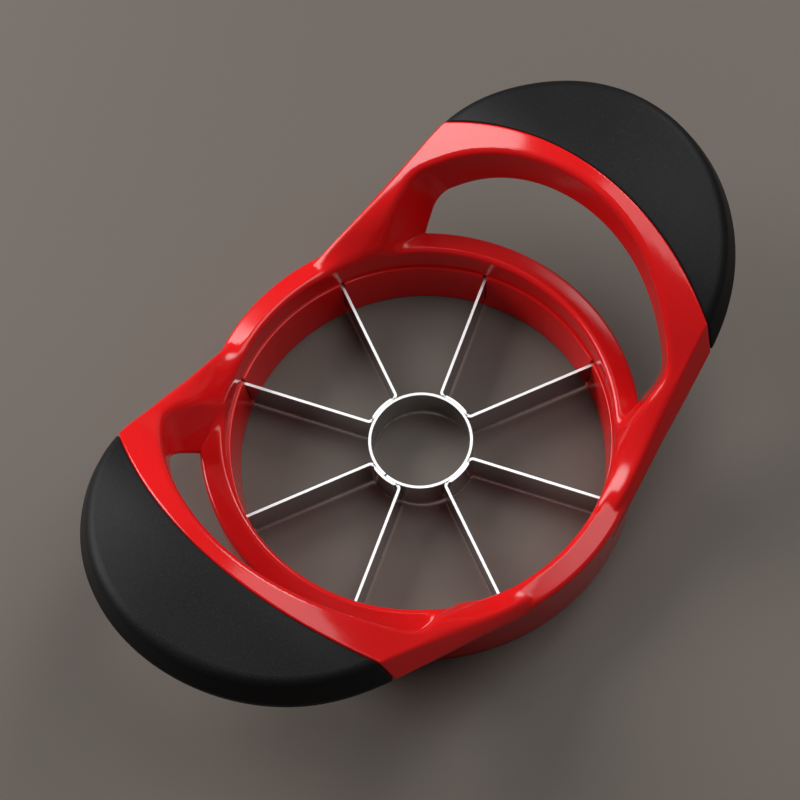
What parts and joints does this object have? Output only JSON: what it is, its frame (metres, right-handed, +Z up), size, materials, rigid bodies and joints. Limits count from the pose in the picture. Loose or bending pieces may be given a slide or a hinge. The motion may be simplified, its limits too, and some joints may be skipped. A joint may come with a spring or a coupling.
{
  "type": "apple slicer",
  "caption": "Push-down apple corer and wedge slicer: red hollow ring with a round core ring and radial steel blades, and two raised loop handles with black soft grips.",
  "frame": {"origin": "centre of the ring, on the surface that the ring stands on", "axes": "+X is the long axis through both handles, +Y is the direction across it, +Z is up, away from the cutting edges"},
  "size_m": [0.1854, 0.1098, 0.0586],
  "materials": {
    "gloss_red": "glossy moulded plastic",
    "soft_black": "soft matte overmould",
    "stainless": "fine brushed strip with ground edges"
  },
  "bodies": {
    "root": {"handle_frame": "gloss_red", "blade_closing_ring": "gloss_red", "grip_left": "soft_black", "grip_right": "soft_black", "core_ring": "stainless", "blade_strip_right": "stainless", "blade_strip_back": "stainless", "blade_strip_left": "stainless", "blade_strip_front": "stainless"}
  },
  "joints": []
}
